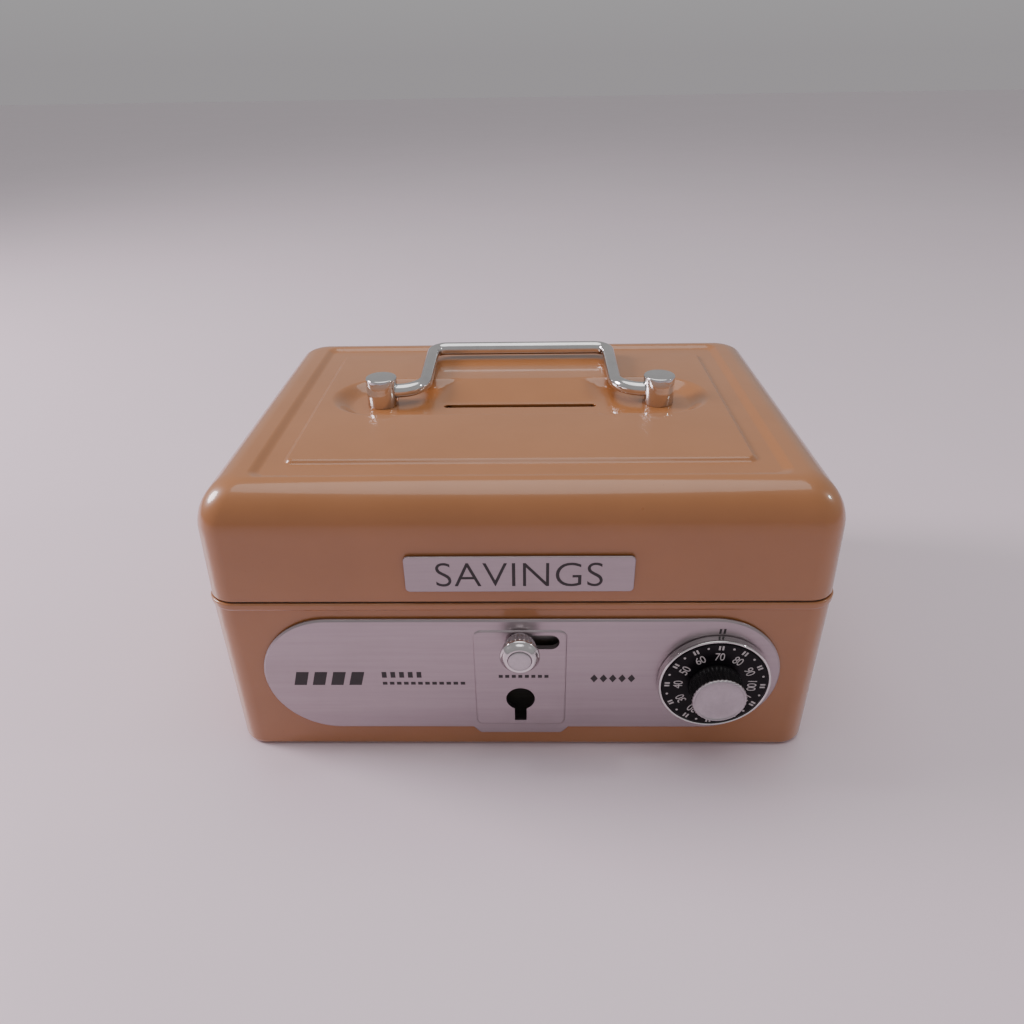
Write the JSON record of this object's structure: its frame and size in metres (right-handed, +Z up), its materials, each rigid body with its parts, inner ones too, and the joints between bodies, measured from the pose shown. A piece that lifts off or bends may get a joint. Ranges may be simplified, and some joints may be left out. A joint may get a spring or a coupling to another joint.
{
  "type": "coin bank",
  "caption": "Steel cash box coin bank with a hinged coin-slot lid, a folding wire handle, a dial combination lock, a sliding latch knob and a keyhole.",
  "frame": {"origin": "centre of the flat underside", "axes": "+X to the right along the long side, +Y to the hinged back, +Z up"},
  "size_m": [0.163, 0.1336, 0.0881],
  "materials": {
    "base_paint": "gloss tan stove enamel",
    "lid_paint": "gloss tan stove enamel",
    "inner_steel": "bare pressed steel",
    "plate_aluminium": "brushed along X, bright bevelled edge",
    "plaque_metal": "bright satin with dark engraved ground",
    "zinc_hardware": "bright zinc",
    "hinge_steel": "tan enamel over steel",
    "brass_bush": "turned brass",
    "brass_works": "stamped brass",
    "post_chrome": "polished chrome",
    "handle_chrome": "polished chrome wire",
    "knob_chrome": "knurled, polished",
    "knob_face": "spun face",
    "spring_steel": "spring steel wire",
    "dial_black": "gloss black with white figures",
    "dial_black_grip": "gloss black, fluted",
    "dial_chrome": "polished rim",
    "dial_cap_metal": "spun face with serrated edge"
  },
  "bodies": {
    "base": {"base_shell": "base_paint", "rim_collar": "inner_steel", "front_plate": "plate_aluminium", "lock_case": "inner_steel", "case_screws": "zinc_hardware", "guide_pins": "zinc_hardware", "spindle_bush": "brass_bush", "hinge_leaf_base": "hinge_steel", "base_leaf_rivets": "zinc_hardware", "hinge_pin": "zinc_hardware"},
    "lid": {"lid_shell": "lid_paint", "name_plaque": "plaque_metal", "hinge_leaf_lid": "hinge_steel", "lid_leaf_rivets": "zinc_hardware", "lid_strike": "inner_steel", "strike_welds": "inner_steel", "post_left": "post_chrome", "post_right": "post_chrome", "post_washers": "zinc_hardware", "post_screws": "zinc_hardware"},
    "handle": {"handle_bail": "handle_chrome"},
    "latch": {"latch_slide": "inner_steel", "latch_stud": "zinc_hardware", "latch_knob": "knob_chrome", "latch_knob_face": "knob_face", "latch_spring": "spring_steel"},
    "key_bolt": {"key_bolt": "brass_works"},
    "dial": {"dial_disc": "dial_black", "dial_rim": "dial_chrome", "dial_knob": "dial_black_grip", "dial_cap": "dial_cap_metal", "dial_spindle": "zinc_hardware", "drive_wheel": "brass_works", "wheel_spacers": "zinc_hardware", "spindle_clip": "spring_steel"},
    "middle_wheel": {"middle_wheel": "brass_works"},
    "rear_wheel": {"rear_wheel": "brass_works"}
  },
  "joints": [
    {"name": "lid_hinge", "type": "hinge", "parent": "base", "child": "lid", "pos_m": [0, 0.062, 0.0508], "axis": [-1, 0, 0], "range_deg": [0, 105]},
    {"name": "handle_pivot", "type": "hinge", "parent": "lid", "child": "handle", "pos_m": [0, 0.0032, 0.0836], "axis": [1, 0, 0], "range_deg": [0, 175]},
    {"name": "latch_travel", "type": "slide", "parent": "base", "child": "latch", "axis": [1, 0, 0], "range_m": [0, 0.008], "stiffness_N_per_m": 120, "springref_m": -0.008, "deforming": ["latch_spring"]},
    {"name": "dial_turn", "type": "hinge", "parent": "base", "child": "dial", "pos_m": [0.0515, -0.06, 0.02625], "axis": [0, 1, 0], "continuous": true},
    {"name": "middle_wheel_turn", "type": "hinge", "parent": "base", "child": "middle_wheel", "pos_m": [0.0515, -0.0534, 0.02625], "axis": [0, 1, 0], "continuous": true},
    {"name": "rear_wheel_turn", "type": "hinge", "parent": "base", "child": "rear_wheel", "pos_m": [0.0515, -0.0509, 0.02625], "axis": [0, 1, 0], "continuous": true},
    {"name": "key_bolt_lift", "type": "slide", "parent": "base", "child": "key_bolt", "axis": [0, 0, 1], "range_m": [0, 0.0025]}
  ],
  "couplings": [
    {"joint": "middle_wheel_turn", "follows": "dial_turn", "ratio": 1},
    {"joint": "rear_wheel_turn", "follows": "dial_turn", "ratio": 1}
  ]
}
